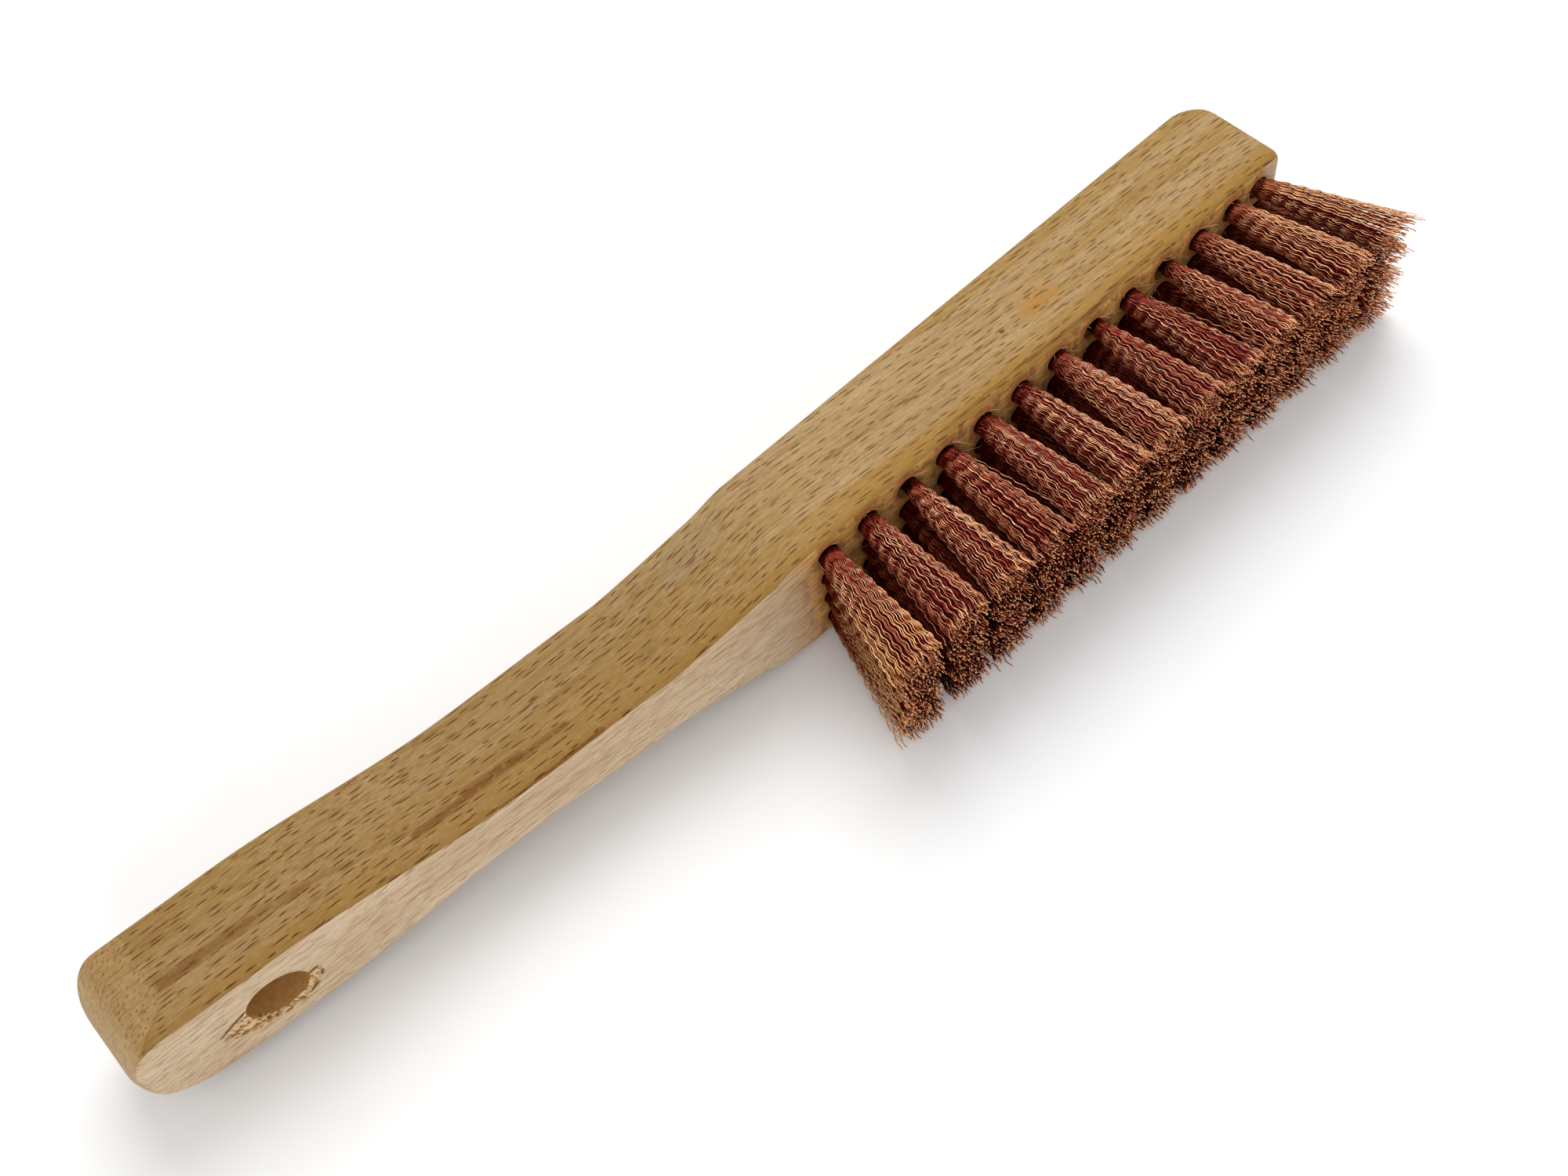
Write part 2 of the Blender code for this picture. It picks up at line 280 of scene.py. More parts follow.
def beech():
    g = Graph("beech_wood")
    place = g.node("ShaderNodeTexCoord").outputs["Object"]
    x, y, z = (g.mul(v, 1000.0) for v in g.split(place))
    normal = g.node("ShaderNodeNewGeometry").outputs["Normal"]
    nx, ny, nz = g.split(normal)
    torn = g.attribute("torn")
    slit = g.attribute("slit")

    # grain: runs at a slight slope to the block and wanders slowly
    wander = g.noise(g.vector(g.mul(x, 0.011), g.mul(y, 0.012), g.mul(z, 0.012)), 1.0, 1.0)
    wander = g.mul(g.add(wander, -0.5), 9.0)
    across = g.add(g.add(g.mul(x, 0.062), y), wander)
    deep = g.add(g.add(g.mul(x, -0.055), z), g.mul(wander, 0.6))
    along = x
    broad = g.noise(g.vector(g.mul(along, 0.007), g.mul(across, 0.26), g.mul(deep, 0.10)), 1.0, 2.0)
    bands = g.noise(g.vector(g.mul(along, 0.016), g.mul(across, 0.75), g.mul(deep, 0.55)), 1.0, 3.0)
    lines = g.noise(g.vector(g.mul(along, 0.05), g.mul(across, 2.6), g.mul(deep, 2.6)), 1.0, 3.0)
    fibre = g.noise(g.vector(g.mul(along, 0.30), g.mul(across, 7.0), g.mul(deep, 7.0)), 1.0, 3.0, 0.6)
    mottle = g.noise(g.vector(g.mul(x, 0.06), g.mul(y, 0.10), g.mul(z, 0.10)), 1.0, 2.0)
    blots = g.noise(g.vector(g.mul(x, 0.42), 0.0, g.mul(z, 0.35)), 1.0, 3.0, 0.6)
    speckle = g.noise(g.vector(g.mul(x, 0.9), g.mul(y, 1.1), g.mul(z, 1.1)), 1.0, 3.0, 0.65)

    # where the surface lies
    back = g.math("MAXIMUM", g.add(g.mul(x, -1.0), -72.0), 0.0)
    inward = g.add(g.add(y, 11.5), g.mul(back, -0.085))
    up = g.math("ABSOLUTE", nz)
    is_top = g.span(up, 0.46, 0.54)
    ragged = g.mul(g.add(speckle, -0.5), 5.0)
    low_part = g.math("MAXIMUM", g.add(g.mul(y, -1.0), 4.5), 0.0)
    border = g.add(g.mul(x, -1.0), g.mul(low_part, -1.6))
    ragged = g.mul(ragged, g.span(low_part, 1.5, 0.0))
    is_end = g.span(g.add(border, ragged), *END_ZONE)
    seam = g.span(g.math("ABSOLUTE", g.add(border, -END_SEAM)), 0.7, 0.1)
    seam = g.mul(seam, g.span(low_part, 0.2, 1.0))
    is_end = g.math("MAXIMUM", is_end, g.span(g.math("ABSOLUTE", nx), 0.55, 0.80))

    # the face with the ray flecks
    light, mid, dark = (0.440, 0.297, 0.142), (0.382, 0.230, 0.073), (0.210, 0.096, 0.018)
    top = g.mix(g.span(broad, 0.40, 0.58), mid, light)
    contrast = g.span(x, *HANDLE_CONTRAST, 0.35, 0.58)
    top = g.mix(g.mul(g.span(bands, 0.52, 0.70), contrast), top, dark)
    top = g.mix(g.mul(g.span(lines, 0.51, 0.64), contrast), top, dark)
    top = g.mix(g.mul(g.span(lines, 0.47, 0.34), contrast), top, (0.56, 0.385, 0.180))
    top = g.mix(g.mul(g.span(fibre, 0.48, 0.72), 0.30), top, (0.20, 0.105, 0.028))
    band = g.span(g.add(inward, g.mul(g.add(bands, -0.5), 8.0)), 6.0, 1.8)
    band = g.mul(band, g.span(x, -196.0, -178.0, 0.35, 0.75))
    top = g.mix(band, top, (0.350, 0.182, 0.030))
    # painted shade: the handle's upper face darker and browner than the block's
    top = g.mix(g.mul(g.span(x, *HANDLE_PAINTED_SHADE), 0.50), top, (0.255, 0.145, 0.043))
    for x0, y0, x1, y1, wide, share in STREAKS:
        streak = stroke(g, x, g.add(y, g.mul(g.add(bands, -0.5), 2.0)), x0, y0, x1, y1, wide)
        top = g.mix(g.mul(streak, share), top, STREAK_BROWN)
    for x0, y0, rx, ry, share, tint in SPOTS:
        rough_edge = g.mul(g.add(speckle, -0.5), 2.0)
        spot = stroke(g, x, y, x0 - rx, y0, x0 + rx, y0, ry, rough_edge)
        top = g.mix(g.mul(spot, share), top, tint)
    marks = flecks(g, along, across, 5.0, 1.25, 1.0, 0.95, 1.75, 0.165)
    marks = g.mul(marks, g.span(mottle, 0.25, 0.55, 0.90, 1.30))
    marks = g.mul(g.math("MINIMUM", marks, 1.0), g.span(x, *HANDLE_CONTRAST, 0.80, 1.0))
    top = g.mix(marks, top, FLECK_BROWN)
    faint = flecks(g, along, across, 4.3, 1.15, 3.0, 0.70, 1.40, 0.090)
    top = g.mix(g.mul(faint, 0.60), top, (0.160, 0.055, 0.004))
    top = g.mix(g.mul(g.span(speckle, 0.50, 0.66), 0.22), top, (0.250, 0.150, 0.055))
    top = g.mix(g.mul(g.span(speckle, 0.46, 0.32), 0.18), top, (0.520, 0.370, 0.190))

    # the lighter faces, with streaks and pores
    side = g.mix(g.span(broad, 0.35, 0.65), (0.600, 0.450, 0.290), (0.670, 0.525, 0.360))
    side = g.mix(g.mul(g.span(bands, 0.50, 0.75), 0.35), side, (0.45, 0.285, 0.155))
    side = g.mix(g.mul(g.span(lines, 0.50, 0.66), 0.50), side, (0.40, 0.245, 0.130))
    rings = g.noise(g.vector(g.mul(along, 0.022), g.mul(across, 1.5), g.mul(deep, 1.5)), 1.0, 2.0)
    rings = g.span(g.math("ABSOLUTE", g.add(g.math("FRACT", g.mul(rings, 7.0)), -0.5)), 0.11, 0.02)
    side = g.mix(g.mul(rings, 0.60), side, (0.330, 0.160, 0.065))
    side = g.mix(g.mul(g.span(lines, 0.45, 0.25), 0.34), side, (0.74, 0.61, 0.46))
    pores = flecks(g, along, deep, 6.2, 0.80, 5.0, 0.80, 2.0, 0.110)
    side = g.mix(g.mul(pores, 0.90), side, (0.21, 0.090, 0.028))

    # the bristle face between the tufts is browner, partly its own stain and partly painted shade and
    # copper-coloured bounce light from the tufts, with rust round the holes
    before_tip = g.span(x, *STAIN_AND_SHADE_STOP)
    stain_and_shade = g.mul(g.span(x, *STAIN_AND_SHADE_START), g.span(ny, -0.05, -0.40))
    stain_and_shade = g.mul(stain_and_shade, before_tip)
    brown = g.mix(g.span(lines, 0.35, 0.65), (0.740, 0.370, 0.085), (0.470, 0.205, 0.038))
    brown = g.mix(g.mul(g.span(blots, 0.50, 0.60), 0.75), brown, (0.210, 0.075, 0.016))
    offsets = []
    for place_along, first, pitch in ((x, COLUMN_START, COLUMN_PITCH), (z, ROW_TOP, ROW_PITCH)):
        shifted = g.add(place_along, pitch / 2 - first + SPARE_PITCHES * pitch)
        part = g.math("FRACT", g.mul(shifted, 1 / pitch))
        offsets.append(g.mul(g.add(part, -0.5), pitch))
    squares = [g.mul(offset, offset) for offset in offsets]
    from_hole = g.math("SQRT", g.add(*squares))
    from_hole = g.add(from_hole, g.mul(g.add(blots, -0.5), 5.0))
    on_face = g.mul(g.span(x, *RUST_START), g.span(ny, -0.80, -0.95))
    rust = g.mul(g.span(from_hole, 4.2, 2.9), on_face)
    rust = g.mul(rust, before_tip)
    # the face's stain together with painted shade and bounce light from the tufts
    side = g.mix(g.mul(stain_and_shade, 0.88), side, brown)
    side = g.mix(g.mul(rust, 0.65), side, (0.300, 0.085, 0.020))

    # end grain
    dots = flecks(g, g.add(y, g.mul(x, 0.9)), g.add(y, g.mul(x, -0.7)), 1.7, 1.1, 9.0, 0.8, 0.5, 0.24)
    end = g.mix(g.span(speckle, 0.36, 0.66), (0.350, 0.210, 0.078), (0.460, 0.305, 0.134))
    end = g.mix(g.mul(dots, 0.95), end, (0.160, 0.064, 0.012))

    is_side_end = g.mul(is_end, is_top)
    colour = g.mix(is_top, side, top)
    colour = g.mix(g.mul(is_side_end, 0.62), colour, end)
    colour = g.mix(g.mul(g.mul(seam, is_top), 0.45), colour, (0.220, 0.104, 0.024))
    tail = g.mix(0.45, end, (0.620, 0.440, 0.250))
    colour = g.mix(g.span(nx, -0.35, -0.80), colour, tail)
    colour = g.mix(g.mul(g.span(mottle, 0.35, 0.70), 0.10), colour, (0.30, 0.17, 0.07))

    # torn wood round the hanging hole, and that hole's wall
    from_x = g.math("POWER", g.add(x, -HANG_X), 2.0)
    from_z = g.math("POWER", g.add(z, -MIDDLE_Z), 2.0)
    radius = g.math("SQRT", g.add(from_x, from_z))
    wall = g.span(radius, HANG_RADIUS + 0.12, HANG_RADIUS + 0.02)
    slanted = g.add(g.mul(z, 3.4), g.mul(x, 1.2))
    strands = g.noise(g.vector(g.mul(x, 0.35), g.mul(y, 1.2), slanted), 1.0, 2.0)
    raw = g.mix(g.span(strands, 0.40, 0.56), (0.30, 0.140, 0.040), (0.74, 0.540, 0.310))
    bored = g.mix(g.span(speckle, 0.30, 0.70), (0.42, 0.210, 0.060), (0.50, 0.280, 0.094))
    colour = g.mix(torn, colour, raw)
    colour = g.mix(wall, colour, bored)
    # painted shade in the slits of the torn wood
    colour = g.mix(g.mul(slit, 0.85), colour, (0.150, 0.055, 0.014))
    colour = g.mix(g.mul(g.span(fibre, 0.45, 0.70), 0.12), colour, (0.22, 0.12, 0.05))

    g.put(g.shader.inputs["Base Color"], colour)
    rough = g.span(fibre, 0.2, 0.8, 0.50, 0.66)
    g.put(g.shader.inputs["Roughness"], g.math("MAXIMUM", rough, g.mul(torn, 0.8)))
    g.shader.inputs["Specular IOR Level"].default_value = 0.08
    height = g.add(g.mul(fibre, 0.5), g.mul(marks, -0.2))
    g.put(g.shader.inputs["Normal"], g.bump(height, 0.35, 0.00012))
    return g.made


def copper():
    """Copper wire, bright on the outside of a tuft, with painted shade dark red between and behind the
    outer wires and painted light on the trimmed tips.
    """
    g = Graph("crimped_copper_wire")
    tone, along, gold, cut = (g.attribute(name) for name in ("tone", "along", "gold", "cut"))
    open_, free = g.attribute("open"), g.attribute("free")
    place = g.node("ShaderNodeTexCoord").outputs["Object"]
    stain = g.noise(place, 1100.0, 2.0, 0.5)
    colour = g.mix(g.span(tone, 0.0, 0.9), (0.46, 0.130, 0.064), (0.86, 0.500, 0.270))
    colour = g.mix(g.mul(g.span(stain, 0.49, 0.60), 0.65), colour, (0.24, 0.040, 0.022))
    colour = g.mix(g.mul(gold, 0.60), colour, (1.00, 0.58, 0.24))
    # painted shade inside a bundle: its inner wires dark red
    colour = g.mix(g.span(open_, 0.95, 0.35), colour, (0.25, 0.026, 0.017))
    # painted shade: wires away from the brush's outside turn darker red, where the other tufts take their
    # light
    colour = g.mix(g.mul(g.span(free, 1.0, 0.0), 0.75), colour, (0.36, 0.042, 0.020))
    # painted shade, deeper still at a bundle's middle
    colour = g.mix(g.span(open_, 0.35, 0.0), colour, (0.150, 0.010, 0.007))
    # painted shade at the roots, where the tufts go into the wood
    root_shade = g.mix(gold, (0.26, 0.030, 0.018), (0.40, 0.110, 0.030))
    colour = g.mix(g.mul(g.span(along, 0.26, 0.04), 0.85), colour, root_shade)
    # painted highlight on the trimmed tips of the brighter wires
    tip_highlight = g.mul(g.span(along, 0.925, 0.975), g.span(tone, 0.25, 0.75, 0.1, 0.9))
    colour = g.mix(tip_highlight, colour, (1.00, 0.50, 0.24))
    colour = g.mix(cut, colour, (0.86, 0.50, 0.27))
    g.put(g.shader.inputs["Base Color"], colour)
    g.shader.inputs["Metallic"].default_value = 1.0
    g.put(g.shader.inputs["Roughness"], g.span(stain, 0.3, 0.8, 0.15, 0.28))
    g.shader.inputs["Coat Weight"].default_value = 0.15
    g.shader.inputs["Coat Roughness"].default_value = 0.12
    return g.made


def plain_wire():
    g = Graph("steel_anchor_wire")
    place = g.node("ShaderNodeTexCoord").outputs["Object"]
    grey = g.noise(place, 1500.0, 3.0)
    g.put(g.shader.inputs["Base Color"], g.mix(grey, (0.35, 0.34, 0.33), (0.62, 0.61, 0.60)))
    g.shader.inputs["Metallic"].default_value = 1.0
    g.shader.inputs["Roughness"].default_value = 0.4
    return g.made


def pale_fibre():
    g = Graph("torn_beech_fibre")
    place = g.node("ShaderNodeTexCoord").outputs["Object"]
    tone = g.noise(place, 700.0, 2.0)
    g.put(g.shader.inputs["Base Color"], g.mix(tone, (0.46, 0.29, 0.13), (0.74, 0.56, 0.34)))
    g.shader.inputs["Roughness"].default_value = 0.8
    return g.made


def paper():
    g = Graph("white_table")
    place = g.node("ShaderNodeTexCoord").outputs["Object"]
    tone = g.noise(place, 40.0, 3.0)
    g.put(g.shader.inputs["Base Color"], g.mix(tone, (0.93, 0.93, 0.93), (0.955, 0.955, 0.955)))
    g.shader.inputs["Roughness"].default_value = 0.9
    g.shader.inputs["Specular IOR Level"].default_value = 0.1
    return g.made


# ---------------------------------------------------------------- wood


def ease(share):
    share = min(max(share, 0.0), 1.0)
    return share * share * (3 - 2 * share)


def corner_inset(radius, distance):
    if distance >= radius:
        return 0.0
    return radius - math.sqrt(radius**2 - (radius - max(distance, 0.0)) ** 2)


def half_width(back):
    if back <= 0:
        return WIDTH / 2
    if back < SHOULDER_RUN:
        return NECK + (WIDTH / 2 - NECK) * (1 - back / SHOULDER_RUN) ** 1.15
    if back < WAIST_AT:
        return NECK + (WAIST - NECK) * ease((back - SHOULDER_RUN) / (WAIST_AT - SHOULDER_RUN))
    return WAIST + (GRIP - WAIST) * ease((back - WAIST_AT) / (GRIP_AT - WAIST_AT))


def face_y(x):
    """The bristle side's surface at x."""
    back = SHOULDER_X - x
    return FACE_Y + RISE * max(back - RISE_START, 0.0) / (HANDLE_LENGTH - RISE_START)


def rounded_off(half, run, distance):
    if distance >= run:
        return half
    return END_FLAT + (half - END_FLAT) * math.sqrt(max(0.0, 1 - (1 - distance / run) ** 2))


def wood_ring(x):
    """The wood's outline at x."""
    back = SHOULDER_X - x
    low = face_y(x)
    thick = THICKNESS + (END_THICKNESS - THICKNESS) * max(back, 0.0) / HANDLE_LENGTH
    high, half = low + thick, half_width(back)
    if x > 0:
        low += corner_inset(TIP_FACE, TIP_X - x)
        high -= corner_inset(TIP_BACK, TIP_X - x)
        top = half - corner_inset(TIP_SIDE, TIP_X - x)
        bottom = -top
    else:
        low += corner_inset(END_FACE, x - END_X)
        high -= corner_inset(END_BACK, x - END_X)
        top = rounded_off(half, END_UPPER, x - END_X)
        bottom = -rounded_off(half, END_LOWER, x - END_X)
    radius = min(EDGE, 0.45 * (high - low), 0.45 * (top - bottom))
    corners = (
        (high - radius, top - radius, 0),
        (low + radius, top - radius, 90),
        (low + radius, bottom + radius, 180),
        (high - radius, bottom + radius, 270),
    )
    flats = (math.ceil(THICKNESS / POINT_GAP), math.ceil(WIDTH / POINT_GAP)) * 2
    ring = []
    for (y, z, start), (y2, z2, start2), count in zip(corners, corners[1:] + corners[:1], flats):
        for i in range(CORNER_STEPS + 1):
            turn = math.radians(start + 90 * i / CORNER_STEPS)
            ring.append((x, y + radius * math.cos(turn), MIDDLE_Z + z + radius * math.sin(turn)))
        a = np.array(ring[-1])
        turn = math.radians(start2)
        b = np.array((x, y2 + radius * math.cos(turn), MIDDLE_Z + z2 + radius * math.sin(turn)))
        ring += [tuple(a + (b - a) * i / count) for i in range(1, count)]
    return ring


# Slits in the torn wood, sunk a little and darkened with painted shade, from the hanging hole's centre: x
# and z of both ends, half width
SLITS = (
    (-5.6, 2.6, -11.4, -0.3, 0.22),
    (-7.6, 0.4, -10.4, -1.2, 0.26),
    (-4.3, -3.9, -5.1, -4.3, 0.42),
    (-3.2, -5.1, -4.6, -5.8, 0.22),
    (-0.9, -5.9, -3.0, -6.0, 0.18),
    (5.9, 0.0, 7.7, 0.5, 0.24),
    (6.3, -1.1, 8.0, -0.6, 0.30),
    (7.4, -3.4, 8.1, -1.7, 0.22),
    (3.9, -6.1, 6.2, -5.0, 0.20),
)


def tear(x, z):
    """Depth of the torn wood beside the hanging hole, and how much of a slit lies there, sunk a little
    and darkened with painted shade.
    """
    dx, dz = x - HANG_X, z - MIDDLE_Z
    r = math.hypot(dx, dz)
    ripple = 0.5 + 0.5 * math.sin((dz - 0.4 * dx) * 5.5 + 1.3 * math.sin(dz * 2.3))
    depth = 0.0
    # the long chip towards the handle's end
    t = (-dx - 2.6) / 9.6
    if 0 < t < 1:
        upper, lower = 2.9 - 4.6 * t, -6.2 + 4.2 * t**2.2
        w = abs(2 * (dz - lower) / (upper - lower) - 1)
        if w < 1:
            depth = max(depth, 1.35 * (1 - t) ** 0.6 * (1 - w**4) * (0.45 + 0.55 * ripple))
    # the lower rim and the broken ring on the far side
    if 5.0 < r < 8.6 and dz < 1.0:
        a = math.degrees(math.atan2(dz, dx))
        outer = 7.1 + 0.9 * ease((a + 75) / 60) - 0.3 * math.sin(a * 0.21)
        if r < outer and a < -2:
            depth = max(depth, 0.75 * min(1.0, (outer - r) / 0.5) * (0.5 + 0.5 * ripple))
    slit = 0.0
    for x0, z0, x1, z1, wide in SLITS:
        ex, ez = x1 - x0, z1 - z0
        s = min(max(((dx - x0) * ex + (dz - z0) * ez) / (ex * ex + ez * ez), 0.0), 1.0)
        away = math.hypot(dx - x0 - s * ex, dz - z0 - s * ez)
        taper = 0.35 + math.sin(math.pi * (0.08 + 0.84 * s))
        slit = max(slit, min(1.0, max(0.0, 1.25 - away / (wide * taper))))
    return depth + 0.5 * slit, min(1.0, depth / 0.35), slit


def rods_mesh(name, rods, finish=None):
    """One mesh of many closed rods: start, end, radius and number of sides of each."""
    verts, faces = [], []
    for start, end, radius, sides in rods:
        start, end = Vector(start), Vector(end)
        axis = (end - start).normalized()
        u = axis.orthogonal().normalized()
        v = axis.cross(u)
        first = len(verts)
        for centre in (start, end):
            for i in range(sides):
                a = 2 * math.pi * i / sides
                verts.append((centre + radius * (u * math.cos(a) + v * math.sin(a))) * MM)
        faces.append(tuple(range(first + sides - 1, first - 1, -1)))
        faces.append(tuple(range(first + sides, first + 2 * sides)))
        for i in range(sides):
            j = (i + 1) % sides
            faces.append((first + i, first + j, first + sides + j, first + sides + i))
    return new_object(name, verts, faces, finish)


def shift(column):
    return LAST_COLUMN_SHIFT if column == COLUMNS - 1 else 0.0


def root(column, row):
    """The middle of a tuft's hole on the bristle face."""
    x = COLUMN_START + COLUMN_PITCH * column - shift(column)
    return np.array((x, FACE_Y, ROW_TOP - ROW_PITCH * row))


def lean(column, row):
    """How far a tuft's trimmed end lies from its root in x and in z."""
    along = 2 * column / (COLUMNS - 1) - 1
    return 0.1 + 1.6 * along + 3.1 * along**5 + shift(column), 1.4 * (1 - 2 * row / (ROWS - 1))


def add_wood(finish):
    end_turns = [math.radians(90 * i / END_STEPS) for i in range(END_STEPS + 1)]
    tip_turns = [math.radians(90 * i / TIP_STEPS) for i in range(1, TIP_STEPS + 1)]
    stations = [END_X + END_LOWER * (1 - math.cos(turn)) for turn in end_turns]
    stations += list(np.linspace(stations[-1], TIP_X - TIP_BACK, RUN_STEPS))[1:]
    stations += [TIP_X - TIP_BACK * (1 - math.sin(turn)) for turn in tip_turns]
    rings = [wood_ring(x) for x in stations]
    count = len(rings[0])
    verts = [np.array(p) * MM for ring in rings for p in ring]
    faces = []
    for k in range(len(rings) - 1):
        for i in range(count):
            j = (i + 1) % count
            a = k * count
            faces.append((a + i, a + j, a + count + j, a + count + i))
    faces.append(tuple(range(count - 1, -1, -1)))
    last = (len(rings) - 1) * count
    faces.append(tuple(range(last, last + count)))
    wood = new_object("beech_body", verts, faces, finish)

    bm = bmesh.new()
    bm.from_mesh(wood.data)
    bmesh.ops.recalc_face_normals(bm, faces=bm.faces)
    for cuts in (2, 1):
        near = []
        for face in bm.faces:
            c = face.calc_center_median() / MM
            on_face = face.normal.y < -0.9
            if on_face and abs(c.x - HANG_X + 1) < 13 and abs(c.z - MIDDLE_Z) < 10.5:
                near.append(face)
        edges = list({e for f in near for e in f.edges})
        bmesh.ops.subdivide_edges(bm, edges=edges, cuts=cuts, use_grid_fill=True)
    torn = bm.verts.layers.float.new("torn")
    slit = bm.verts.layers.float.new("slit")
    for v in bm.verts:
        x, z = v.co.x / MM, v.co.z / MM
        if abs(v.co.y / MM - face_y(x)) < 0.05 and abs(x - HANG_X) < 14:
            depth, share, dark = tear(x, z)
            v.co.y += depth * MM
            v[torn] = share
            # how much painted slit shade the wood gets here
            v[slit] = dark
    bm.to_mesh(wood.data)
    bm.free()

    hang_from, hang_to = (HANG_X, face_y(HANG_X) - 4, MIDDLE_Z), (HANG_X, 30, MIDDLE_Z)
    rods = [(hang_from, hang_to, HANG_RADIUS, 64)]
    for row in range(ROWS):
        for column in range(COLUMNS):
            base = root(column, row)
            lx, lz = lean(column, row)
            d = np.array((lx, -BRISTLE, lz)) / BRISTLE
            rods.append((base - d * HOLE_DEPTH, base + d * 2.0, HOLE_RADIUS, 32))
    tool = rods_mesh("cutter", rods)
    boolean = wood.modifiers.new("holes", "BOOLEAN")
    boolean.operation, boolean.solver, boolean.object = "DIFFERENCE", "EXACT", tool
    bpy.context.view_layer.update()
    drilled = bpy.data.meshes.new_from_object(wood.evaluated_get(bpy.context.evaluated_depsgraph_get()))
    wood.modifiers.clear()
    wood.data = drilled
    bpy.data.objects.remove(tool, do_unlink=True)
    drilled.materials.clear()
    drilled.materials.append(finish)
    drilled.shade_smooth()
    drilled.set_sharp_from_angle(angle=SHARP_ANGLE)
    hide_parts("handle")
    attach(wood, "root")


# ---------------------------------------------------------------- wires

LOOSE = ((2, 0), (7, 0), (9, 0))  # tufts that fill less of their holes: column, row


def tube_mesh(name, paths, radii, tones, extra, finish, shape=None):
    """One mesh of many tubes: paths is (wires, rings, 3) in mm; extra holds ring attributes.

    shape gives the bundle's centre and half sizes at each ring and the side of an end column.
    "open" says how near to the bundle's outside a point is, and "free" to the whole brush's; the copper
    paints shade where they are low.
    """
    count, rings = paths.shape[:2]
    sides = WIRE_SIDES
    tangent = np.gradient(paths, axis=1)
    tangent /= np.linalg.norm(tangent, axis=2, keepdims=True)
    u = np.cross(tangent, np.array((0.23, 0.11, 0.97)))
    u /= np.linalg.norm(u, axis=2, keepdims=True)
    v = np.cross(tangent, u)
    turn = 2 * np.pi * np.arange(sides) / sides
    circle = (
        u[:, :, None, :] * np.cos(turn)[None, None, :, None]
        + v[:, :, None, :] * np.sin(turn)[None, None, :, None]
    )
    verts = paths[:, :, None, :] + circle * radii[:, :, None, None]
    if shape is not None:
        centre, half, end_side = shape
        away = (verts[..., (0, 2)] - centre[:, :, None, :]) / half[:, :, None, :]
        # painted shade: open is low inside a bundle and free is low inside the brush, and both lift
        # towards the trimmed tips
        nearness = np.clip((np.linalg.norm(away, axis=3) - OPEN_FROM) / (1.0 - OPEN_FROM), 0, 1)
        at_tip = np.clip((extra["along"] - BRIGHT_FROM) / BRIGHT_OVER, 0, 1)
        at_tip = (at_tip * (0.35 + 0.65 * tones[:, None]))[:, :, None]
        nearness = np.maximum(nearness, at_tip)
        free = np.clip((np.abs(verts[..., 2] - MIDDLE_Z) - 8.6) / 3.6, 0, 1)
        free = np.maximum(free, np.clip((away[..., 0] * end_side + 0.1) / 0.6, 0, 1) * abs(end_side))
        free = np.maximum(free, at_tip)
    verts = verts.reshape(-1, 3) * MM

    index = np.arange(count * rings * sides).reshape(count, rings, sides)
    a = index[:, :-1, :]
    b = np.roll(a, -1, axis=2)
    c = index[:, 1:, :]
    d = np.roll(c, -1, axis=2)
    quads = np.stack((a, c, d, b), axis=-1).reshape(-1, 4)
    caps = np.concatenate((index[:, 0, :], index[:, -1, ::-1]), axis=0)
    loops = np.concatenate((quads.ravel(), caps.ravel()))
    totals = np.concatenate((np.full(len(quads), 4), np.full(len(caps), sides)))
    starts = np.concatenate(((0,), np.cumsum(totals)[:-1]))
    mesh = bpy.data.meshes.new(name)
    mesh.vertices.add(len(verts))
    mesh.vertices.foreach_set("co", verts.ravel())
    mesh.loops.add(len(loops))
    mesh.loops.foreach_set("vertex_index", loops)
    mesh.polygons.add(len(totals))
    mesh.polygons.foreach_set("loop_start", starts)
    mesh.update(calc_edges=True)
    smooth = np.ones(len(totals), bool)
    smooth[len(quads):] = False
    mesh.polygons.foreach_set("use_smooth", smooth)
    layers = {label: np.repeat(values.reshape(-1), sides) for label, values in extra.items()}
    if shape is not None:
        layers["open"], layers["free"] = nearness.reshape(-1), free.reshape(-1)
    layers["tone"] = np.repeat(tones, rings * sides)
    for label, values in layers.items():
        layer = mesh.attributes.new(label, "FLOAT", "POINT")
        layer.data.foreach_set("value", values.astype(np.float32))
    cut = np.zeros(len(totals), np.float32)
    cut[len(quads) + count:] = 1.0
    mesh.attributes.new("cut", "FLOAT", "FACE").data.foreach_set("value", cut)
    mesh.materials.append(finish)
    made = bpy.data.objects.new(name, mesh)
    SCENE.collection.objects.link(made)
    return made


def smooth_random(rng, wires, rings, knots):
    """A smooth random curve for each wire, about -1 to 1, zero at its start."""
    values = rng.normal(0, 0.6, (wires, knots))
    values[:, 0] = 0
    at = np.linspace(0, knots - 1, rings)
    low = np.clip(np.floor(at).astype(int), 0, knots - 2)
    share = at - low
    share = share * share * (3 - 2 * share)
    return values[:, low] * (1 - share) + values[:, low + 1] * share


